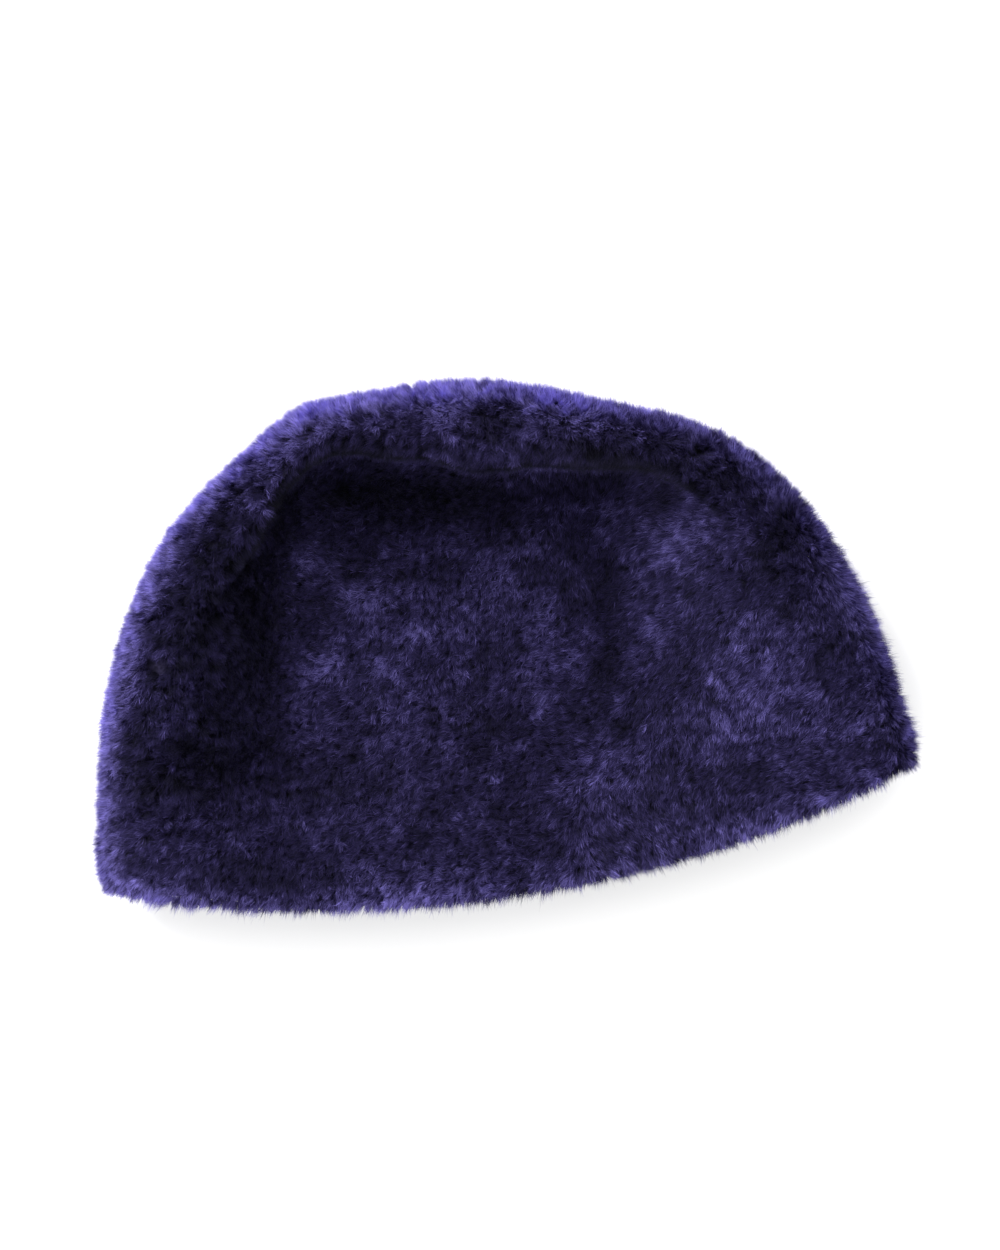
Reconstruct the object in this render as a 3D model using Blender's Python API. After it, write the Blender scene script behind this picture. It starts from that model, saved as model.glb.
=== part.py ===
# Soft fur hat lying flat on its back. Its front has sunk in under the roll of the crown.
# X runs across the hat, +Y from the rim to the crown, +Z up from the surface it lies on.
import math
import random

import bmesh
import bpy
from mathutils import Vector

# Driving sizes, in metres
HAT_WIDTH = 0.2985  # across the two corners of the flattened rim, pile included
CROWN_REACH = 0.1640  # from the line through the rim's corners to the top of the crown
RIM_BOW = 0.0242  # how far the middle of the rim bows out past its corners
RIM_TILT = 0.0045  # how much further the rim reaches at its left corner than at its right
WALL = 0.010  # skin and pile together
MOUTH_GAP = 0.012  # between the two layers at the middle of the rim
POCKET_GAP = 0.011  # between the two layers where the front has sunk in
CROWN_HEIGHT = 0.060  # top of the crown's roll above the surface
EDGE_RUN = 0.020  # plan width of the rounded edge, from the outline to its crest
LIP_REACH = 0.1485  # from the middle of the rim to the foot of the crown's roll
LIP_OVERHANG = 0.0036  # how far the roll leans out over its foot
LOWER_TUCK = 0.003  # how far the rim of the lower layer lies back from that of the upper one
SIDE_LEAN = 0.0028  # how far the sides lean in between the rim and the crown
HEM_DEPTH = 0.030  # the strip of fur that binds the rim
HEM_SWELL = 0.0012  # how much thicker the hem is than the band beside it
SEAM_PLACE = 0.060  # the band's closing seam, right of the middle
SEAM_GAP = 0.0005  # between two pieces, or two ends, that are sewn edge to edge
LOCK_RISE = 0.0032  # height of the locks of fur from the valley between them to the tip
LOCK_LEAN = 0.0024  # how far a lock's tip leans along the nap, towards the rim
LOCK_SWAY = 0.0014  # how far a lock's tip may stray to either side
LOCK_UNEVEN = 0.35  # share by which rise and lean vary from lock to lock
LOCK_LENGTH = 0.0080  # a cell that is shorter or smaller than this has a smaller lock
FOLD_PRESS = 0.5  # share of its height that a lock keeps for each row that it is off the fold

# Cells of the outer surface. A lock fills one cell, and the inner surface has every second line.
ACROSS = 36
HEM_ROWS = 4
BAND_ROWS = 14
ROLL_ROWS = 6
UPRIGHT = 8
ROWS = HEM_ROWS + BAND_ROWS + ROLL_ROWS
LIP_ROW = HEM_ROWS + BAND_ROWS

PRESSED_SHARE = 0.33  # share of a narrow roll's width that each of its walls may fill

# Where the crown has slumped by "dip", or stands out where that is less than nothing. Place
# and width are shares of half the hat's width.
SHOULDERS = (
    {"across": 0.42, "wide": 0.28, "dip": 0.010},
    {"across": -0.355, "wide": 0.10, "dip": -0.0045},
)

# Roundness of the forms: 2 is an ellipse, more is squarer
OUTLINE_POWER = 2.3
EDGE_POWER = 2.3
ROLL_POWER = 2.5

# Height of the rounded edge, as shares of CROWN_HEIGHT, from the rim's corners to the crown's top
EDGE_HEIGHTS = (
    {"along": 0.00, "left": 0.54, "right": 0.54},
    {"along": 0.15, "left": 0.72, "right": 0.62},
    {"along": 0.40, "left": 0.88, "right": 0.74},
    {"along": 0.70, "left": 0.97, "right": 0.86},
    {"along": 1.00, "left": 1.00, "right": 1.00},
)

# The slopes from the crest of the edge down to the sunken floor, as shares of half the width.
# "crisp" is 0 for a soft foot and 1 for a foot that meets the floor in a valley.
LEFT_SLOPE = {"crest": 0.97, "foot": 0.60, "crisp": 0.9}
RIGHT_SLOPE = {"crest": 0.97, "foot": 0.50, "crisp": 0.0}
EVEN_FROM = 0.62  # share of half the width beyond which the rows spread out evenly

# Line of the roll's foot: how far it strays from an even curve, as shares of EDGE_RUN, and
# how much of LIP_OVERHANG it has
LIP_LINE = (
    {"across": -1.00, "stray": 0.00, "overhang": 0.0},
    {"across": -0.74, "stray": 0.05, "overhang": 0.4},
    {"across": -0.58, "stray": 0.66, "overhang": 0.7},
    {"across": -0.44, "stray": 0.80, "overhang": 0.8},
    {"across": -0.17, "stray": 0.44, "overhang": 1.0},
    {"across": 0.07, "stray": 0.04, "overhang": 1.0},
    {"across": 0.36, "stray": 0.20, "overhang": 0.9},
    {"across": 0.65, "stray": 0.40, "overhang": 0.5},
    {"across": 0.82, "stray": 0.20, "overhang": 0.1},
    {"across": 1.00, "stray": 0.00, "overhang": 0.0},
)
CREST_STRAY = 0.5  # share of the stray that the roll's crest follows
STRAY_POWER = 4  # how fast the stray dies out from the crest down the outer side
FOLD_SPREAD = 1.5  # rows over which the inner surface is drawn into the fold
LOWER_TUCK_FADE = 0.3  # share of the way to the crown over which LOWER_TUCK dies out
MOUTH_FADE = 0.25  # share of the way over which MOUTH_GAP turns into POCKET_GAP
LIP_SPREAD = 3.0  # rows over which the stray dies out

# Dents and swells of the sunken front. Places and sizes are shares of half the width and of
# the distance from the rim to the crown; "deep" is a share of POCKET_GAP, below nought a swell.
DENTS = (
    {"across": 0.33, "along": 0.56, "wide": 0.09, "long": 0.20, "deep": 0.30},
    {"across": 0.12, "along": 0.28, "wide": 0.16, "long": 0.08, "deep": 0.22},
    {"across": -0.30, "along": 0.55, "wide": 0.20, "long": 0.16, "deep": -0.32},
    {"across": 0.60, "along": 0.42, "wide": 0.14, "long": 0.22, "deep": -0.35},
    {"across": 0.76, "along": 0.50, "wide": 0.06, "long": 0.16, "deep": 0.60},
    {"across": -0.10, "along": 0.72, "wide": 0.22, "long": 0.08, "deep": 0.25},
)

FUR_COLOUR = (0.030, 0.023, 0.085, 1.0)
FUR_ROUGHNESS = 0.85
RANDOM_SEED = 7

HALF_WIDTH = HAT_WIDTH / 2
LENGTH = CROWN_REACH + RIM_BOW
EDGE_SHARE = EDGE_RUN / HALF_WIDTH
SEAM_COLUMN = 2 * round(ACROSS * (1 + SEAM_PLACE / (HALF_WIDTH - EDGE_RUN)) / 4)


def ease(share):
    # Nought below 0, one above 1, and a smooth rise between
    share = min(1.0, max(0.0, share))
    return share * share * (3 - 2 * share)


def look_up(table, key, place, column):
    # Smooth reading between the rows of a table with named columns
    if place <= table[0][key]:
        return table[0][column]
    for low, high in zip(table, table[1:]):
        if place <= high[key]:
            share = ease((place - low[key]) / (high[key] - low[key]))
            return low[column] + (high[column] - low[column]) * share
    return table[-1][column]


def bell(distance, size):
    return math.exp(-((distance / size) ** 2))


def row_share(row, slant):
    # Where a row of cells lies from the rim, 0, to the crest of the crown, 1, in plan.
    # Rows crowd at the foot of the roll in the middle, and spread evenly at the sides.
    flat = 1 - EDGE_SHARE
    hem = HEM_DEPTH / LENGTH / flat
    lip = LIP_REACH / LENGTH / flat
    if row <= HEM_ROWS:
        return hem * row / HEM_ROWS
    if row <= LIP_ROW:
        share = (row - HEM_ROWS) / BAND_ROWS
        middle = hem + (lip - hem) * share
        even = hem + (LIP_ROW / ROWS - hem) * share
    else:
        turn = math.pi / 2 * (row - LIP_ROW) / ROLL_ROWS
        middle = lip + (1 - lip) * (1 - abs(math.cos(turn)) ** (2 / ROLL_POWER))
        even = row / ROWS
    return middle + (even - middle) * ease((slant - EVEN_FROM) / (1 - EVEN_FROM))


def slope_share(across, slope):
    # Nought on the crest of the edge, one at the foot of the slope and beyond
    share = (slope["crest"] - across) / (slope["crest"] - slope["foot"])
    share = min(1.0, max(0.0, share))
    soft = ease(share)
    return soft + (1 - math.cos(math.pi / 2 * share) - soft) * slope["crisp"]


def edge_height(across, along):
    left = look_up(EDGE_HEIGHTS, "along", along, "left")
    right = look_up(EDGE_HEIGHTS, "along", along, "right")
    return CROWN_HEIGHT * (left + (right - left) * ease(0.5 + across))


def floor_height(across, along):
    gap = MOUTH_GAP + (POCKET_GAP - MOUTH_GAP) * ease(along / MOUTH_FADE)
    for dent in DENTS:
        near = bell(across - dent["across"], dent["wide"]) * bell(along - dent["along"], dent["long"])
        gap -= POCKET_GAP * dent["deep"] * near
    return 2 * WALL + gap


def skin_point(i, j, k, wall):
    # The hat's form at one crossing of the cells: i across, j from the rim to the crown,
    # k from the lower layer, 0, round the edge to the upper layer, UPRIGHT. With no wall it is
    # the outer surface, and with one the surface that far inside.
    a = 2 * i / ACROSS - 1
    slant = abs(a) if k == UPRIGHT else 1.0
    b = row_share(j, slant)
    across = a * math.sqrt(1 - b * b / 2)
    along = b * math.sqrt(1 - a * a / 2)
    reach = math.hypot(across, along)
    if reach > 0:
        power = OUTLINE_POWER
        squarer = (abs(across / reach) ** power + abs(along / reach) ** power) ** (-1 / power)
        squarer = 1 + (squarer - 1) * max(abs(a), b) ** 2
        across *= squarer
        along *= squarer

    latitude = math.pi * (k / UPRIGHT - 0.5)
    roundness = abs(math.cos(latitude)) ** (2 / EDGE_POWER)
    upright = math.copysign(abs(math.sin(latitude)) ** (2 / EDGE_POWER), latitude)
    inset = EDGE_SHARE * (1 - roundness)
    plan_across = across * (1 - inset)
    plan_along = along * (1 - inset)

    # The foot of the roll strays, and where that leaves the roll narrow its walls are thinner
    stray = EDGE_RUN * look_up(LIP_LINE, "across", a, "stray")
    room = CROWN_REACH + RIM_BOW - LIP_REACH - stray
    pressed = min(wall, PRESSED_SHARE * room)
    turn = math.pi / 2 * max(0, j - LIP_ROW) / ROLL_ROWS
    if j < LIP_ROW:
        fade = bell(j - LIP_ROW, LIP_SPREAD)
    else:
        fade = CREST_STRAY + (1 - CREST_STRAY) * math.cos(turn)

    bow = RIM_BOW * (1 - plan_across**2) - RIM_TILT * plan_across / 2
    x = (HALF_WIDTH - SIDE_LEAN * math.sin(math.pi * plan_along)) * plan_across
    x -= wall * roundness * plan_across
    y = CROWN_REACH * plan_along - bow * (1 - plan_along) ** 2
    for place in SHOULDERS:
        y -= place["dip"] * bell(plan_across - place["across"], place["wide"]) * plan_along**2
    y -= (pressed if j == ROWS else wall) * roundness * plan_along
    y += LOWER_TUCK * (1 - k / UPRIGHT) * (1 - ease(plan_along / LOWER_TUCK_FADE))
    y += stray * fade * max(0.0, upright) ** STRAY_POWER

    crest = edge_height(across, along)
    z = wall + (crest / 2 - wall) * (1 + upright)
    if k == UPRIGHT:
        sunk = slope_share(-a, LEFT_SLOPE) * slope_share(a, RIGHT_SLOPE)
        depth = sunk * (1 - abs(math.sin(turn)) ** (2 / ROLL_POWER))
        z -= (crest - floor_height(plan_across, plan_along)) * depth
        y -= LIP_OVERHANG * look_up(LIP_LINE, "across", a, "overhang") * math.sin(2 * turn)
        y += pressed * sunk * (math.cos(turn) if turn > 0 else bell(j - LIP_ROW, FOLD_SPREAD))
    return Vector((x, y, z))


def is_surface(i, j, k):
    return k in (0, UPRIGHT) or i in (0, ACROSS) or j == ROWS


def cells(step, first_row, last_row):
    # Corners of the cells of the open box that the hat is mapped from, facing outwards.
    # A step of 2 gives the coarser cells of the inner surface.
    found = []
    rows = range(first_row, last_row, step)
    for i in range(0, ACROSS, step):
        for j in rows:
            ring = ((i, j), (i + step, j), (i + step, j + step), (i, j + step))
            found.append([(p, q, UPRIGHT) for p, q in ring])
            found.append([(p, q, 0) for p, q in reversed(ring)])
    for j in rows:
        for k in range(0, UPRIGHT, step):
            ring = ((j, k), (j + step, k), (j + step, k + step), (j, k + step))
            found.append([(ACROSS, p, q) for p, q in ring])
            found.append([(0, p, q) for p, q in reversed(ring)])
    if last_row == ROWS:
        for i in range(0, ACROSS, step):
            for k in range(0, UPRIGHT, step):
                ring = ((i, k), (i, k + step), (i + step, k + step), (i + step, k))
                found.append([(p, ROWS, q) for p, q in ring])
    return found


def lay_cells(points):
    # A mesh of the whole outer surface
    mesh = bmesh.new()
    verts = {}
    for corners in cells(1, 0, ROWS):
        for key in corners:
            if key not in verts:
                verts[key] = mesh.verts.new(points[key])
        mesh.faces.new([verts[key] for key in corners])
    mesh.normal_update()
    return mesh, verts


def measure_skin():
    # The points of the outer and the inner surface, and the outer one's normals
    outer = {}
    inner = {}
    for i in range(ACROSS + 1):
        for j in range(ROWS + 1):
            for k in range(UPRIGHT + 1):
                if is_surface(i, j, k):
                    outer[i, j, k] = skin_point(i, j, k, 0.0)
                    inner[i, j, k] = skin_point(i, j, k, WALL)
    mesh, verts = lay_cells(outer)
    normals = {key: vert.normal.copy() for key, vert in verts.items()}
    mesh.free()
    return outer, inner, normals


def split_key(key, corners, seamed):
    # A crossing on the closing seam is two points, one for each of the ends that meet there
    i, j, k = key
    if not seamed or k != UPRIGHT or i != SEAM_COLUMN:
        return key
    right_end = sum(corner[0] for corner in corners) > SEAM_COLUMN * len(corners)
    return (i, j, k, right_end)


def drawn_back(key, points, first_row, last_row):
    # How far a point keeps clear of the next piece, or of the other end at the seam
    i, j, k = key[:3]
    shift = Vector()
    if j == last_row and j < ROWS:
        shift += (points[i, j - 1, k] - points[i, j, k]).normalized() * SEAM_GAP / 2
    if j == first_row and j > 0:
        shift += (points[i, j + 1, k] - points[i, j, k]).normalized() * SEAM_GAP / 2
    if len(key) == 4:
        shift.x += SEAM_GAP / 2 if key[3] else -SEAM_GAP / 2
    return shift


def nap_at(corners, points):
    # The way the fur lies in a cell: down the rows towards the rim, or round the crown's end
    rows = sorted(corners, key=lambda key: (key[1], -key[2]))
    far = points[rows[-1][:3]] + points[rows[-2][:3]]
    near = points[rows[0][:3]] + points[rows[1][:3]]
    return (near - far) / 2


def raise_locks(mesh, furred, points, chance):
    # Each cell is poked into a lock of fur, and its tip leans along the nap. A small cell has a
    # small lock, and the locks in the fold under the crown's roll are pressed flat.
    for face, corners in furred:
        nap = nap_at(corners, points)
        normal = face.normal.copy()
        scale = min(1.0, nap.length / LOCK_LENGTH, face.calc_area() / LOCK_LENGTH**2)
        if min(corner[2] for corner in corners) == UPRIGHT:
            row = sum(corner[1] for corner in corners) / len(corners)
            scale *= min(1.0, FOLD_PRESS * abs(row - LIP_ROW))
        rise = LOCK_RISE * scale * (1 + LOCK_UNEVEN * chance.uniform(-1, 1))
        lean = LOCK_LEAN * scale * (1 + LOCK_UNEVEN * chance.uniform(-1, 1))
        tip = bmesh.ops.poke(mesh, faces=[face], offset=0.0)["verts"][0]
        sway = LOCK_SWAY * scale * chance.uniform(-1, 1)
        tip.co += normal * rise + nap.normalized() * lean + normal.cross(nap.normalized()) * sway
        tip.co.z = max(tip.co.z, SEAM_GAP)


def make_piece(name, first_row, last_row, seamed, swell, skin, material, chance):
    # One closed piece of the hat's wall, between two rows of cells
    points, inner_points, normals = skin
    mesh = bmesh.new()
    outer = {}
    inner = {}

    def outer_vert(key):
        if key not in outer:
            place = key[:3]
            valley = 0.0 if place[2] == 0 else swell - LOCK_RISE / 2
            point = points[place] + normals[place] * valley + drawn_back(key, points, first_row, last_row)
            outer[key] = mesh.verts.new(point)
        return outer[key]

    def inner_vert(key):
        if key not in inner:
            point = inner_points[key[:3]] + drawn_back(key, points, first_row, last_row)
            inner[key] = mesh.verts.new(point)
        return inner[key]

    furred = []
    for corners in cells(1, first_row, last_row):
        keys = [split_key(key, corners, seamed) for key in corners]
        face = mesh.faces.new([outer_vert(key) for key in keys])
        if any(key[2] > 0 for key in corners):
            furred.append((face, keys))
    inner_edges = {}
    for corners in cells(2, first_row, last_row):
        keys = [split_key(key, corners, seamed) for key in corners]
        mesh.faces.new([inner_vert(key) for key in reversed(keys)])
        for start, end in zip(keys, keys[1:] + keys[:1]):
            inner_edges[start, end] = True

    # The cut edges of the wall: two outer cells meet each inner cell
    for start, end in inner_edges:
        if (end, start) in inner_edges:
            continue
        middle = tuple((p + q) // 2 for p, q in zip(start[:3], end[:3])) + start[3:]
        if len(start) != len(end):
            middle = middle[:3]
        outer_a, outer_m, outer_b = (outer_vert(key) for key in (start, middle, end))
        inner_a, inner_b = inner_vert(start), inner_vert(end)
        mesh.faces.new((outer_m, outer_a, inner_a))
        mesh.faces.new((outer_m, inner_a, inner_b))
        mesh.faces.new((outer_b, outer_m, inner_b))

    mesh.normal_update()
    raise_locks(mesh, furred, points, chance)
    bmesh.ops.triangulate(mesh, faces=mesh.faces[:])
    data = bpy.data.meshes.new(name)
    mesh.to_mesh(data)
    mesh.free()
    data.materials.append(material)
    piece = bpy.data.objects.new(name, data)
    bpy.context.scene.collection.objects.link(piece)
    return piece


def fur_material():
    material = bpy.data.materials.new("violet_fur")
    material.use_nodes = True
    shader = material.node_tree.nodes["Principled BSDF"]
    shader.inputs["Base Color"].default_value = FUR_COLOUR
    shader.inputs["Roughness"].default_value = FUR_ROUGHNESS
    shader.inputs["Metallic"].default_value = 0.0
    return material


def centre_on_footprint(pieces):
    # The origin is the middle of the ground that the hat covers
    corners = [vert.co for piece in pieces for vert in piece.data.vertices]
    middle_x = (min(co.x for co in corners) + max(co.x for co in corners)) / 2
    middle_y = (min(co.y for co in corners) + max(co.y for co in corners)) / 2
    for piece in pieces:
        for vert in piece.data.vertices:
            vert.co.x -= middle_x
            vert.co.y -= middle_y


def build_hat():
    for old in list(bpy.data.objects):
        bpy.data.objects.remove(old)
    chance = random.Random(RANDOM_SEED)
    skin = measure_skin()
    material = fur_material()
    pieces = [
        make_piece("hem", 0, HEM_ROWS, True, HEM_SWELL, skin, material, chance),
        make_piece("side_band", HEM_ROWS, LIP_ROW, True, 0.0, skin, material, chance),
        make_piece("crown", LIP_ROW, ROWS, False, 0.0, skin, material, chance),
    ]
    centre_on_footprint(pieces)


build_hat()
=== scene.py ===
import math
import time

import bpy
import numpy as np
from mathutils import Matrix, Vector
from mathutils.bvhtree import BVHTree
from mathutils.kdtree import KDTree


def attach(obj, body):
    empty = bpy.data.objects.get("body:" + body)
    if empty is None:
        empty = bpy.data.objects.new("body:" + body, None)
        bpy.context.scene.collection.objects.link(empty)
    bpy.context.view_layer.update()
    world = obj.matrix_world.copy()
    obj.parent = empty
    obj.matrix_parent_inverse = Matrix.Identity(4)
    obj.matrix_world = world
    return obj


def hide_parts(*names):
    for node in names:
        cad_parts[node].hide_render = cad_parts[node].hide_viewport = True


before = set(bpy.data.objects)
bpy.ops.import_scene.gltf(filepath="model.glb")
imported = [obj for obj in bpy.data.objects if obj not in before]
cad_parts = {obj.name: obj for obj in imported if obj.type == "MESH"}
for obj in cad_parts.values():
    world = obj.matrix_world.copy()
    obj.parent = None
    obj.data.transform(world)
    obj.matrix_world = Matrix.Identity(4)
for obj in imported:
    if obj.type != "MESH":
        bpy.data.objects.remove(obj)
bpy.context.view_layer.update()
started = time.time()
mm = 0.001


def say(words):
    print(f"{words}, {time.time() - started:.1f} s", flush=True)


# Camera, floor and light come first
view = {
    "aim": (6.3 * mm, 4.1 * mm, 18 * mm),  # the middle of the picture, on the hat
    "turn": 8.03,  # how far the hat is turned in the picture
    "elevation": 87.0,
    "distance": 1.2,
    "frameHeight": 452 * mm,
}


def placeCamera():
    turn, tilt = math.radians(view["turn"]), math.radians(view["elevation"])
    right = Vector((math.cos(turn), -math.sin(turn), 0))
    ahead = Vector((math.sin(turn), math.cos(turn), 0))
    upward = ahead * math.sin(tilt) + Vector((0, 0, math.cos(tilt)))
    back = right.cross(upward)
    spot = Vector(view["aim"]) + back * view["distance"]
    bpy.ops.object.camera_add(location=spot)
    camera = bpy.context.object
    camera.matrix_world = Matrix.Translation(spot) @ Matrix((right, upward, back)).transposed().to_4x4()
    camera.data.sensor_fit = "VERTICAL"
    camera.data.sensor_height = 36
    camera.data.lens = 36 * view["distance"] / view["frameHeight"]
    camera.data.clip_start = 0.05
    bpy.context.scene.camera = camera


studio = {
    "floorSize": 6.0,
    "floorTone": 0.92,
    "skyLow": 3.3,  # the tent of cloth is bright at the sides
    "skyHigh": 0.95,  # and dim overhead
    "keyFrom": (-0.60, 0.80, 0.50),  # upper left of the picture
    "keyDistance": 1.6,
    "keySize": 0.9,
    "keyPower": 42.0,
}


def layFloor():
    bpy.ops.mesh.primitive_plane_add(size=studio["floorSize"], location=(0, 0, 0))
    floor = bpy.context.object
    floor.name = "studioFloor"
    paper = bpy.data.materials.new("studioPaper")
    paper.use_nodes = True
    shader = paper.node_tree.nodes["Principled BSDF"]
    tone = studio["floorTone"]
    shader.inputs["Base Color"].default_value = (tone, tone, tone, 1)
    shader.inputs["Roughness"].default_value = 0.9
    shader.inputs["Specular IOR Level"].default_value = 0.1
    floor.data.materials.append(paper)


def areaLight(name, source, power, size):
    toward = Vector(source).normalized()
    bpy.ops.object.light_add(type="AREA", location=toward * studio["keyDistance"])
    light = bpy.context.object
    light.name = name
    light.rotation_euler = toward.to_track_quat("Z", "Y").to_euler()
    light.data.shape = "DISK"
    light.data.size = size
    light.data.energy = power


def lightStudio():
    world = bpy.data.worlds.new("studioSky")
    world.use_nodes = True
    nodes, links = world.node_tree.nodes, world.node_tree.links
    place = nodes.new("ShaderNodeTexCoord")
    split = nodes.new("ShaderNodeSeparateXYZ")
    links.new(place.outputs["Generated"], split.inputs[0])
    height = nodes.new("ShaderNodeMapRange")
    height.inputs["From Max"].default_value = 0.9
    height.inputs["To Min"].default_value = studio["skyLow"]
    height.inputs["To Max"].default_value = studio["skyHigh"]
    links.new(split.outputs["Z"], height.inputs["Value"])
    links.new(height.outputs["Result"], nodes["Background"].inputs["Strength"])
    nodes["Background"].inputs["Color"].default_value = (1, 1, 1, 1)
    bpy.context.scene.world = world
    areaLight("keyLight", studio["keyFrom"], studio["keyPower"], studio["keySize"])
    bpy.context.scene.view_settings.view_transform = "Standard"


placeCamera()
layFloor()
lightStudio()
say("camera, floor and light")


# The pile's colours run from dark to light, and each hair's tone picks one: partly the nap, partly painted
# light and shade
pileLook = {
    "tones": (
        (0.02, (0.0046, 0.0047, 0.0080, 1)),
        (0.32, (0.0140, 0.0128, 0.0310, 1)),
        (0.64, (0.0390, 0.0312, 0.1130, 1)),
        (0.98, (0.2650, 0.2250, 0.7000, 1)),
    ),
    "root": 0.12,  # how bright the root is, as a share of the tip
    "roughness": 0.6,
    "specular": 0.04,
}


def makePileMaterial():
    material = bpy.data.materials.new("violetPile")
    material.use_nodes = True
    nodes, links = material.node_tree.nodes, material.node_tree.links
    shader = nodes["Principled BSDF"]
    own = nodes.new("ShaderNodeUVMap")
    own.uv_map = "OFBake"
    split = nodes.new("ShaderNodeSeparateXYZ")
    links.new(own.outputs["UV"], split.inputs[0])
    tones = nodes.new("ShaderNodeValToRGB")
    stops = tones.color_ramp.elements
    for k, (place, colour) in enumerate(pileLook["tones"]):
        stop = stops[0] if k == 0 else stops.new(place)
        stop.position = place
        stop.color = colour
    stops.remove(stops[-1])
    links.new(split.outputs["X"], tones.inputs[0])
    shade = nodes.new("ShaderNodeMapRange")
    shade.inputs["To Min"].default_value = pileLook["root"]
    links.new(split.outputs["Y"], shade.inputs["Value"])
    blend = nodes.new("ShaderNodeMix")
    blend.data_type = "RGBA"
    blend.blend_type = "MULTIPLY"
    blend.inputs["Factor"].default_value = 1
    links.new(tones.outputs["Color"], blend.inputs["A"])
    links.new(shade.outputs["Result"], blend.inputs["B"])
    links.new(blend.outputs["Result"], shader.inputs["Base Color"])
    shader.inputs["Roughness"].default_value = pileLook["roughness"]
    shader.inputs["Specular IOR Level"].default_value = pileLook["specular"]
    return material


peltLook = {"light": (0.020, 0.016, 0.048, 1), "dark": (0.006, 0.005, 0.016, 1), "grain": 700.0}


def makePeltMaterial():
    material = bpy.data.materials.new("violetPelt")
    material.use_nodes = True
    tree = material.node_tree
    nodes, links = tree.nodes, tree.links
    shader = nodes["Principled BSDF"]
    place = nodes.new("ShaderNodeTexCoord")
    grain = nodes.new("ShaderNodeTexNoise")
    grain.inputs["Scale"].default_value = peltLook["grain"]
    grain.inputs["Detail"].default_value = 3
    links.new(place.outputs["Object"], grain.inputs["Vector"])
    ramp = nodes.new("ShaderNodeValToRGB")
    ramp.color_ramp.elements[0].position = 0.35
    ramp.color_ramp.elements[0].color = peltLook["dark"]
    ramp.color_ramp.elements[1].position = 0.7
    ramp.color_ramp.elements[1].color = peltLook["light"]
    links.new(grain.outputs["Fac"], ramp.inputs[0])
    links.new(ramp.outputs["Color"], shader.inputs["Base Color"])
    bump = nodes.new("ShaderNodeBump")
    bump.inputs["Strength"].default_value = 0.5
    bump.inputs["Distance"].default_value = 0.3 * mm
    links.new(grain.outputs["Fac"], bump.inputs["Height"])
    links.new(bump.outputs["Normal"], shader.inputs["Normal"])
    shader.inputs["Roughness"].default_value = 0.9
    shader.inputs["Specular IOR Level"].default_value = 0.15
    return material


pileMaterial = makePileMaterial()
peltMaterial = makePeltMaterial()
say("materials")


# The pelts, one for each piece of the hat, carry the pile
pelt = {
    "pileDepth": 2.7 * mm,  # how far the skin lies below the tips
    "smoothing": 2,
    "rays": 24,
    "reach": 0.5,
    "under": 0.9 * mm,  # how far the skins lie below the roots
    "seam": 2.0 * mm,
    "closed": 0.10,  # a spot that sees less than this is inside the pocket
    "open": 0.22,
}
rng = np.random.default_rng(11)


def ease(low, high, value):
    t = np.clip((value - low) / (high - low), 0, 1)
    return t * t * (3 - 2 * t)


def skyDirections(count):
    k = np.arange(count) + 0.5
    height, round_ = k / count, k * math.pi * (3 - math.sqrt(5))
    wide = np.sqrt(1 - height**2)
    return np.stack([wide * np.cos(round_), wide * np.sin(round_), height], 1)


def treeOf(mesh):
    corners = [v.co for v in mesh.vertices]
    return BVHTree.FromPolygons(corners, [tuple(f.vertices) for f in mesh.polygons])


def only(piece):
    bpy.ops.object.select_all(action="DESELECT")
    piece.select_set(True)
    bpy.context.view_layer.objects.active = piece


def mergePoints(piece, gap):
    only(piece)
    bpy.ops.object.mode_set(mode="EDIT")
    bpy.ops.mesh.select_all(action="SELECT")
    bpy.ops.mesh.remove_doubles(threshold=gap)
    bpy.ops.object.mode_set(mode="OBJECT")


def copyNode(node, name):
    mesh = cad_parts[node].data.copy()
    mesh.name = name
    piece = bpy.data.objects.new(name, mesh)
    bpy.context.collection.objects.link(piece)
    mergePoints(piece, 0.02 * mm)
    return piece


def openness(mesh):
    hat = treeOf(mesh)
    sky = [Vector(d) for d in skyDirections(pelt["rays"])]
    share = np.zeros(len(mesh.vertices))
    for i, v in enumerate(mesh.vertices):
        turn = v.normal.to_track_quat("Z", "Y")
        start = v.co + v.normal * mm
        seen = sum(hat.ray_cast(start, turn @ d, pelt["reach"])[0] is None for d in sky)
        share[i] = seen / len(sky)
    return ease(pelt["closed"], pelt["open"], share)


def wholeForm(nodes):
    # The three solids as one skin, without the walls of the seams between them
    copies = [copyNode(node, f"{node}Form") for node in nodes]
    for k, piece in enumerate(copies):
        part = piece.data.attributes.new("part", "INT", "FACE")
        part.data.foreach_set("value", np.full(len(piece.data.polygons), k, np.int32))
    only(copies[0])
    for piece in copies:
        piece.select_set(True)
    bpy.ops.object.join()
    form = bpy.context.object
    mesh = form.data
    hat = treeOf(mesh)
    bpy.ops.object.mode_set(mode="EDIT")
    bpy.ops.mesh.select_all(action="DESELECT")
    bpy.ops.object.mode_set(mode="OBJECT")
    for face in mesh.polygons:  # the walls of the seams face each other
        spot = hat.ray_cast(face.center + face.normal * 0.02 * mm, face.normal, pelt["seam"])[0]
        face.select = spot is not None
    bpy.ops.object.mode_set(mode="EDIT")
    bpy.ops.mesh.select_mode(type="FACE")
    bpy.ops.mesh.delete(type="FACE")
    bpy.ops.object.mode_set(mode="OBJECT")
    only(form)
    bpy.ops.object.mode_set(mode="EDIT")
    bpy.ops.mesh.select_mode(type="VERT")
    bpy.ops.mesh.select_all(action="DESELECT")
    bpy.ops.mesh.select_non_manifold()
    bpy.ops.mesh.remove_doubles(threshold=pelt["seam"])
    bpy.ops.object.mode_set(mode="OBJECT")
    return form


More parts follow.
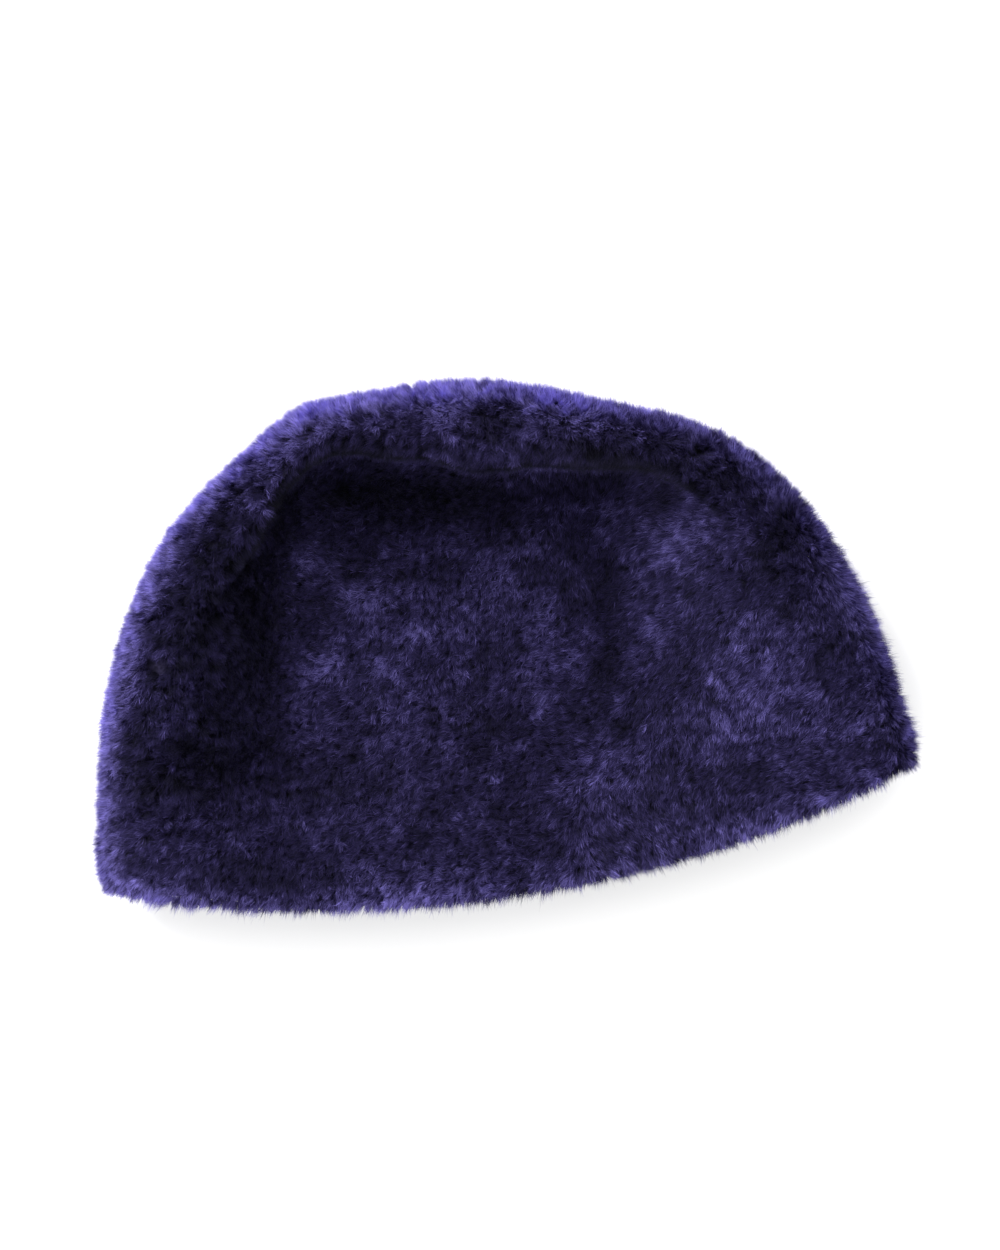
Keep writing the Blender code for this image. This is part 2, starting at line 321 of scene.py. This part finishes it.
def sinkForm(form):
    # Only the outside sinks, and the inside of the pocket stays as it is
    mesh = form.data
    share = openness(mesh)
    group = form.vertex_groups.new(name="outside")
    for i, w in enumerate(share):
        if w > 0:
            group.add([i], float(w), "REPLACE")
    only(form)
    smooth = form.modifiers.new("smooth", "SMOOTH")
    smooth.vertex_group = "outside"
    smooth.factor = 0.5
    smooth.iterations = pelt["smoothing"]
    sink = form.modifiers.new("sink", "DISPLACE")
    sink.vertex_group = "outside"
    sink.mid_level = 0
    sink.strength = -pelt["pileDepth"]
    for modifier in (smooth, sink):
        bpy.ops.object.modifier_apply(modifier=modifier.name)
    return share


def pointsOf(mesh):
    spots = np.zeros(len(mesh.vertices) * 3)
    mesh.vertices.foreach_get("co", spots)
    return spots.reshape(-1, 3)


def makePelt(node, name, before, move):
    piece = copyNode(node, name)
    mesh = piece.data
    tree = KDTree(len(before))
    for k, spot in enumerate(before):
        tree.insert(spot, k)
    tree.balance()
    spots = pointsOf(mesh)
    near = [tree.find(spot)[1] for spot in spots]
    spots += move[near]
    spots[:, 2] = np.maximum(spots[:, 2], 0.6 * mm)
    mesh.vertices.foreach_set("co", spots.ravel())
    mesh.update()
    mesh.materials.clear()
    mesh.materials.append(peltMaterial)
    only(piece)
    bpy.ops.object.shade_smooth()
    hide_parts(node)
    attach(piece, "root")


pieceNames = {"crown": "crown", "side_band": "band", "hem": "hem"}
form = wholeForm(pieceNames)
before = pointsOf(form.data)
share = sinkForm(form)
move = pointsOf(form.data) - before
move -= np.array([v.normal for v in form.data.vertices]) * (share * pelt["under"])[:, None]
for node, name in pieceNames.items():
    makePelt(node, f"{name}Pelt", before, move)
say(f"pelts, from {len(before)} points")


# The pile, one pointed blade for each hair
pile = {
    "density": 13.2,  # hairs to a square millimetre where the hat is seen
    "beneath": 0.07,  # share of that on the side it lies on
    "length": 3.1 * mm,  # in the hollow
    "curlLength": 3.8 * mm,  # and on the roll
    "edgeLength": 0.8 * mm,  # more on the outline
    "width": 0.25 * mm,
    "lockSize": 1.5 * mm,
    "curlSize": 2.4 * mm,
    "lie": 60.0,  # degrees from upright
    "curlLie": 46.0,
    "edgeLie": 27.0,
    "edgeUneven": 0.22,  # the bristles of the outline vary by this share
    "lockTurn": 11.0,  # degrees that a lock turns out of the nap
    "looseTurn": 20.0,  # more on the left, where the nap is loose
    "curlTurn": 20.0,  # and on the roll
    "ownTurn": 17.0,  # degrees that a hair turns out of its lock
    "ownCurlTurn": 10.0,
    "lieSpread": 9.0,
    "gather": 0.10,  # share by which the tips of a lock draw together
    "curlGather": 0.15,
    "rootDepth": 0.3 * mm,  # how far a root is under the skin
    "mostHairs": 197000,  # in one piece
}

# Patches of painted light and shade, partly where the nap is brushed flat, and light, or stands up, and
# dark: x, y, half width and half depth in millimetres, and how light
nap = {
    "all": (
        (-59, 35, 10, 9, 0.9), (-40, 18, 10, 8, 0.6), (-24, 5, 9, 5, 0.6), (-57, -2, 14, 9, 0.8),
        (-37, -10, 11, 9, 0.5), (-62, -24, 13, 11, 0.5), (6, 24, 8, 8, 0.35), (20, 6, 10, 10, 0.8),
        (27, -8, 9, 8, 0.4), (19, -29, 4, 9, 0.7), (72, 24, 20, 14, 0.8), (63, -2, 9, 12, 0.25),
        (88, -4, 14, 12, 0.35), (95, -31, 26, 16, 0.35), (73, -45, 14, 11, 0.3), (32, -52, 13, 8, 0.6),
        (115, -46, 28, 13, 0.65), (60, -72, 28, 8, 0.3), (-71, -57, 9, 7, 0.35),
        (-81, 26, 9, 22, -0.6), (-85, 19, 14, 26, -0.6), (-100, 12, 9, 18, -0.4),
        (-117, -27, 13, 14, -0.5), (-94, -36, 20, 14, -0.5), (-13, 26, 10, 6, -0.6),
        (-36, 33, 8, 7, -0.5), (1, -31, 13, 8, -0.8), (47, 8, 6, 18, -0.8), (43, -21, 6, 12, -0.6),
        (46, -37, 6, 4, -0.5), (-51, -46, 20, 7, -0.5), (103, 3, 8, 8, -0.5), (124, -58, 10, 5, -0.4),
        (-51, 7, 9, 5, -0.4), (-19, -5, 7, 6, -0.4), (-29, -71, 8, 7, -0.35), (19, -70, 9, 8, -0.35),
        (-94, -67, 9, 8, -0.35), (116, 27, 8, 16, -0.3), (-81, -82, 24, 7, -0.5),
    ),
    # Painted shadow under the lip of the roll
    "paintedLipShadow": (
        (-41, 60, 20, 8, -1.2), (-8, 52, 20, 8, -1.2), (13, 43, 10, 10, -0.8), (47, 51, 20, 5, -1.0),
        (85, 41, 20, 5, -0.8), (-64, 52, 7, 16, -1.0),
    ),
    # Painted light and shade on the roll, partly its nap
    "roll": (
        (-4, 80, 10, 10, 0.9), (39, 80, 14, 7, 0.9), (8, 64, 9, 5, 0.4), (14, 88, 26, 5, 0.5),
        (10, 78, 7, 8, -0.15), (-27, 86, 20, 7, 0.5), (-54, 84, 12, 7, 0.3), (64, 71, 12, 6, 0.3),
        (85, 64, 10, 6, 0.35), (69, 54, 18, 8, -0.8), (97, 42, 14, 9, -0.9), (44, 61, 14, 6, -0.4),
    ),
}
# Which way the nap is brushed: x, y in millimetres, and degrees from the right
brushed = (
    (108, -30, 220), (124, -55, 209), (90, -14, 222), (68, -32, 217), (33, 2, 219), (-49, -8, 214),
    (-71, -20, 195), (27, -37, 195), (-13, -35, 212), (46, -80, 312), (81, -79, 302),
    (-114, -42, 192), (-36, -57, 214), (1, -77, 177), (-95, -74, 217), (-61, 31, 192),
    (-9, 16, 235), (-28, -4, 195), (70, 20, 217), (85, 46, 190), (118, 30, 208), (-25, 78, 190),
    (20, 75, 235), (-100, 40, 215), (84, -56, 208), (65, -53, 206),
)
brushReach = 22.0


def ripple(points, size, seed):
    # A wavy number about nothing, with waves of about that size
    draw = np.random.default_rng(seed)
    total = np.zeros(len(points))
    for _ in range(7):
        way = draw.normal(size=3)
        way /= np.linalg.norm(way)
        step = size * draw.uniform(0.7, 1.6)
        total += np.sin(points @ way * 2 * math.pi / step + draw.uniform(0, 2 * math.pi))
    return total / 2.0


def speckle(points, size):
    # A number from 0 to 1 for each little cube of that size
    cube = np.floor(points / size).astype(np.int64)
    mixed = cube[:, 0] * 73856093 ^ cube[:, 1] * 19349663 ^ cube[:, 2] * 83492791
    mixed = (mixed ^ (mixed >> 13)) * 1274126177
    return ((mixed ^ (mixed >> 16)) & 65535) / 65535


def streaks(points, way, size, reach):
    # Speckles drawn out along the nap
    steps = np.linspace(-reach / 2, reach / 2, 9)
    mean = sum(speckle(points + way * step, size) for step in steps) / len(steps)
    return (mean - 0.5) / 0.16


def patches(points, table):
    total = np.zeros(len(points))
    for x, y, wide, deep, light in table:
        off = ((points[:, 0] / mm - x) / wide) ** 2 + ((points[:, 1] / mm - y) / deep) ** 2
        total += light * np.exp(-off)
    return total


def unit(vectors):
    return vectors / np.maximum(np.linalg.norm(vectors, axis=1, keepdims=True), 1e-12)


def flat(vectors, normals):
    return unit(vectors - normals * (vectors * normals).sum(1, keepdims=True))


def turned(vectors, axes, angles):
    c, s = np.cos(angles)[:, None], np.sin(angles)[:, None]
    along = axes * (axes * vectors).sum(1, keepdims=True)
    return vectors * c + np.cross(axes, vectors) * s + along * (1 - c)


def scatter(mesh, share):
    # Roots at random on the outside, with the way up at each and the piece it is on
    mesh.calc_loop_triangles()
    points = pointsOf(mesh)
    normals = np.array([v.normal for v in mesh.vertices])
    corners = np.array([t.vertices for t in mesh.loop_triangles])
    part = np.zeros(len(mesh.polygons), np.int32)
    mesh.attributes["part"].data.foreach_get("value", part)
    part = part[[t.polygon_index for t in mesh.loop_triangles]]
    a, b, c = (points[corners[:, k]] for k in range(3))
    cross = np.cross(b - a, c - a)
    area = np.linalg.norm(cross, axis=1) / 2
    facing = cross[:, 2] / np.maximum(area * 2, 1e-15)
    thick = pile["beneath"] + (1 - pile["beneath"]) * ease(-0.8, -0.3, facing)
    wanted = area * 1e6 * pile["density"] * thick * ease(0.25, 0.6, share[corners].mean(1))
    which = np.repeat(np.arange(len(corners)), rng.poisson(wanted))
    u, v = rng.random(len(which)), rng.random(len(which))
    over = u + v > 1
    u[over], v[over] = 1 - u[over], 1 - v[over]
    w = np.stack([1 - u - v, u, v], 1)[:, :, None]
    roots = (points[corners[which]] * w).sum(1)
    stand = unit((normals[corners[which]] * w).sum(1))
    return roots, stand, part[which]


def combing(roots, stand):
    way = np.tile([-0.05, -0.12, 0.0], (len(roots), 1))
    for x, y, degrees in brushed:
        off = np.hypot(roots[:, 0] / mm - x, roots[:, 1] / mm - y) / brushReach
        turn = math.radians(degrees)
        way += np.exp(-(off**2))[:, None] * np.array([math.cos(turn), math.sin(turn), 0.0])
    swirl = 14 * ripple(roots, 60 * mm, 3) + 10 * ripple(roots, 21 * mm, 4)
    swirl += 8 * ripple(roots, 9 * mm, 5)
    return turned(flat(way, stand), stand, np.radians(swirl))


def outlineOff(roots):
    # How far each root is inside the hat's outline, measured from the middle
    away = np.hypot(roots[:, 0], roots[:, 1])
    turn = ((np.arctan2(roots[:, 1], roots[:, 0]) / (2 * math.pi) + 1) % 1 * 240).astype(int) % 240
    rim = np.zeros(240)
    np.maximum.at(rim, turn, away)
    return rim[turn] - away


# A hair's tone starts from a base, and these are the weights of what makes it lighter or darker, much of
# it painted light and shade
tint = {
    "base": 0.537,
    "nap": 0.18,
    "paintedGlow": 0.39,  # painted glow of light along the outline
    "shaded": 0.05,  # darker on the left's inner slope
    "paintedLipShadow": 0.42,  # and a painted shadow under the lip of the roll
    # painted shade on the roll's inner face at the right
    "paintedRightLipShade": 0.12,
    "lock": 0.05,
    "paintedLockGapShade": 0.12,  # painted shade between two locks
    "streak": 0.04,
    "valley": 0.36,  # painted shade in the darkest streaks, where the hairs are shortest
    "grain": 0.08,
}
# A root's brightness: raised along the outline by the painted glow, and by the patches of nap and painted
# light
rootTint = {"base": 0.16, "paintedGlow": 0.45, "nap": 0.12, "least": 0.04, "most": 0.7}
# The painted glow is stronger on the left and at the top, where the light comes from, and mottled
paintedGlowSides = {"middle": 0.74, "left": 0.2, "top": 0.3, "mottle": 0.16}


def paintedGlowOf(roots, slope, outward, stand):
    # Hairs facing outward on the slopes, and those near the outline, get a painted glow of light
    edge = ease(0.15, 0.85, slope) * ease(0.1, 0.6, outward)
    fringe = ease(-16 * mm, 0, -outlineOff(roots)) * (stand[:, 2] > -0.3)
    toward = unit(roots[:, :2])
    around = paintedGlowSides["middle"] - paintedGlowSides["left"] * toward[:, 0] + paintedGlowSides["top"] * toward[:, 1]
    mottle = 1 + paintedGlowSides["mottle"] * ripple(roots, 7 * mm, 12)
    return edge, np.maximum(edge, fringe) * around * mottle


def napLight(roots, stand, height, high):
    # Painted light and shade from the patches, partly the nap, with random ripples; none on the underside
    light = patches(roots, nap["all"]) + high * patches(roots, nap["roll"])
    light += ease(-44 * mm, -38 * mm, -height) * patches(roots, nap["paintedLipShadow"])
    light += 0.45 * ease(-0.5, 0.5, ripple(roots, 24 * mm, 9)) - 0.22
    light += 0.16 * ripple(roots, 9 * mm, 10)
    return light * ease(-0.1, 0.3, stand[:, 2])


def readHat(roots, stand):
    # What the hat is like at each root, and where it gets painted light and shade
    slope = 1 - stand[:, 2]
    outward = (stand[:, :2] * unit(roots[:, :2])).sum(1)
    edge, paintedGlow = paintedGlowOf(roots, slope, outward, stand)
    height = roots[:, 2] + stand[:, 2] * 3 * mm
    high = ease(43 * mm, 50 * mm, height)
    hung = ease(30 * mm, 38 * mm, roots[:, 2])
    inward = -stand[:, 1]
    return {
        "edge": edge,
        "paintedGlow": paintedGlow,
        "curly": np.clip(ease(37 * mm, 48 * mm, height) + ease(0.3, 0.8, slope), 0, 1),
        "light": napLight(roots, stand, height, high),
        "loose": 1 - ease(-20 * mm, 60 * mm, roots[:, 0]),
        # Painted shadow under the lip, on hairs that hang down and face in
        "paintedLipShadow": hung * ease(0.2, 0.6, inward) * ease(-0.35, 0.1, -stand[:, 2]),
        # Painted shade on the inner face of the roll at the right
        "paintedRightLipShade": high * ease(0.1, 0.6, inward) * ease(10 * mm, 45 * mm, roots[:, 0]),
        "shaded": ease(0.1, 0.5, -outward) * ease(20 * mm, 70 * mm, -roots[:, 0]),
    }


def gatherLocks(roots, size):
    # Neighbouring hairs keep together in locks: the nearest head of a lock, and how far it is
    heads = np.flatnonzero(rng.random(len(roots)) * pile["density"] * (size / mm) ** 2 < 1)
    tree = KDTree(len(heads))
    for k, i in enumerate(heads):
        tree.insert(roots[i], k)
    tree.balance()
    found = [tree.find(p)[1:] for p in roots]
    lock = np.array([f[0] for f in found])
    off = np.array([f[1] for f in found]) / size
    draws = rng.normal(0, 1, (4, len(heads)))
    return heads[lock], off, draws[:, lock]


def between(low, high, share):
    return low + (high - low) * share


def growPile(roots, stand):
    count = len(roots)
    hat = readHat(roots, stand)
    edge, curly, light, loose = hat["edge"], hat["curly"], hat["light"], hat["loose"]
    way = combing(roots, stand)
    lockSize = between(pile["lockSize"], pile["curlSize"], curly)
    head, off, (lockTurn, lockLong, lockTone, lockLean) = gatherLocks(roots, lockSize)
    streak = np.clip(streaks(roots, way, 0.6 * mm, 1.5 * mm), -2.5, 2.5)

    lockSpread = pile["lockTurn"] + pile["looseTurn"] * loose + pile["curlTurn"] * curly
    ownSpread = pile["ownTurn"] + pile["ownCurlTurn"] * curly
    turn = np.radians(lockTurn * lockSpread)
    turn += np.radians(rng.normal(0, 1, count) * ownSpread)
    own = flat(turned(unit(way + way[head]), stand, turn), stand)
    long = between(pile["length"], pile["curlLength"], curly)
    long *= 1 + 0.08 * lockLong + 0.13 * streak + rng.normal(0, 0.07, count)
    long = (long + edge * pile["edgeLength"]) * (1 + edge * pile["edgeUneven"] * rng.normal(0, 1, count))
    lie = between(pile["lie"], pile["curlLie"], curly) + 6 * light - 7 * loose
    lie += (pile["edgeLie"] - lie) * edge + 6 * lockLean + rng.normal(0, pile["lieSpread"], count)
    lie = np.radians(np.clip(lie, 3, 82))
    start = roots - stand * pile["rootDepth"]
    tip = start + (stand * np.cos(lie)[:, None] + own * np.sin(lie)[:, None]) * long[:, None]

    # The tips of a lock draw together
    lean = np.radians(between(pile["curlLie"], pile["edgeLie"], edge))[:, None]
    headOwn = flat(turned(way[head], stand[head], turn), stand[head])
    top = roots[head] + (stand[head] * np.cos(lean) + headOwn * np.sin(lean)) * long[:, None]
    gather = pile["gather"] + pile["curlGather"] * curly
    tip += (top + 0.35 * (roots - roots[head]) - tip) * gather[:, None]
    facing = turned(stand, unit(tip - start), np.radians(rng.normal(0, 40, count)))
    width = pile["width"] / 2 * rng.uniform(0.7, 1.25, count)
    side = unit(np.cross(tip - start, facing)) * width[:, None]

    # Painted shade between locks, stronger on the roll
    paintedLockGapShade = ease(0.35, 0.75, off) * (0.3 + 0.7 * curly)
    # The tone: random, nap and painted light, a painted glow on the outline, painted shade on the left
    # slope, under the lip, between locks and in the short streaks
    tone = tint["base"] + tint["nap"] * light + tint["paintedGlow"] * hat["paintedGlow"] - tint["shaded"] * hat["shaded"]
    tone -= np.maximum(tint["paintedLipShadow"] * hat["paintedLipShadow"], tint["paintedRightLipShade"] * hat["paintedRightLipShade"])
    tone += tint["lock"] * lockTone - tint["paintedLockGapShade"] * paintedLockGapShade
    tone += tint["streak"] * streak - tint["valley"] * ease(0.4, 1.4, -streak)
    tone += rng.normal(0, tint["grain"], count)
    foot = rootTint["base"] + rootTint["paintedGlow"] * hat["paintedGlow"] + rootTint["nap"] * light
    foot = np.clip(foot, rootTint["least"], rootTint["most"])
    return start, side, tip, np.clip(tone, 0.02, 0.98), foot


def hairMesh(name, start, side, tip, tone, foot):
    count = len(start)
    points = np.stack([start - side, start + side, tip], 1)
    points[:, :, 2] = np.maximum(points[:, :, 2], 0.15 * mm)
    mesh = bpy.data.meshes.new(name)
    mesh.vertices.add(count * 3)
    mesh.vertices.foreach_set("co", points.astype(np.float32).ravel())
    mesh.loops.add(count * 3)
    mesh.loops.foreach_set("vertex_index", np.arange(count * 3, dtype=np.int32))
    mesh.polygons.add(count)
    mesh.polygons.foreach_set("loop_start", np.arange(count, dtype=np.int32) * 3)
    mesh.update(calc_edges=True)
    along = np.stack([foot, foot, np.full(count, 0.96)], 1).ravel()
    spots = np.stack([np.repeat(tone, 3), along], 1)
    layer = mesh.uv_layers.new(name="OFBake")
    layer.data.foreach_set("uv", spots.astype(np.float32).ravel())
    mesh.materials.append(pileMaterial)
    piece = bpy.data.objects.new(name, mesh)
    bpy.context.collection.objects.link(piece)
    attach(piece, "root")


roots, stand, part = scatter(form.data, share)
bpy.data.objects.remove(form)
grown = growPile(roots, stand)
say(f"{len(roots)} hairs")
for k, name in enumerate(pieceNames.values()):
    mine = np.flatnonzero(part == k)
    mine = mine[np.argsort(roots[mine, 0])]
    parts = math.ceil(len(mine) / pile["mostHairs"])
    for j, rows in enumerate(np.array_split(mine, parts)):
        hairMesh(f"{name}Pile{j + 1}", *(g[rows] for g in grown))
    say(f"{name} pile, {len(mine)} hairs in {parts}")
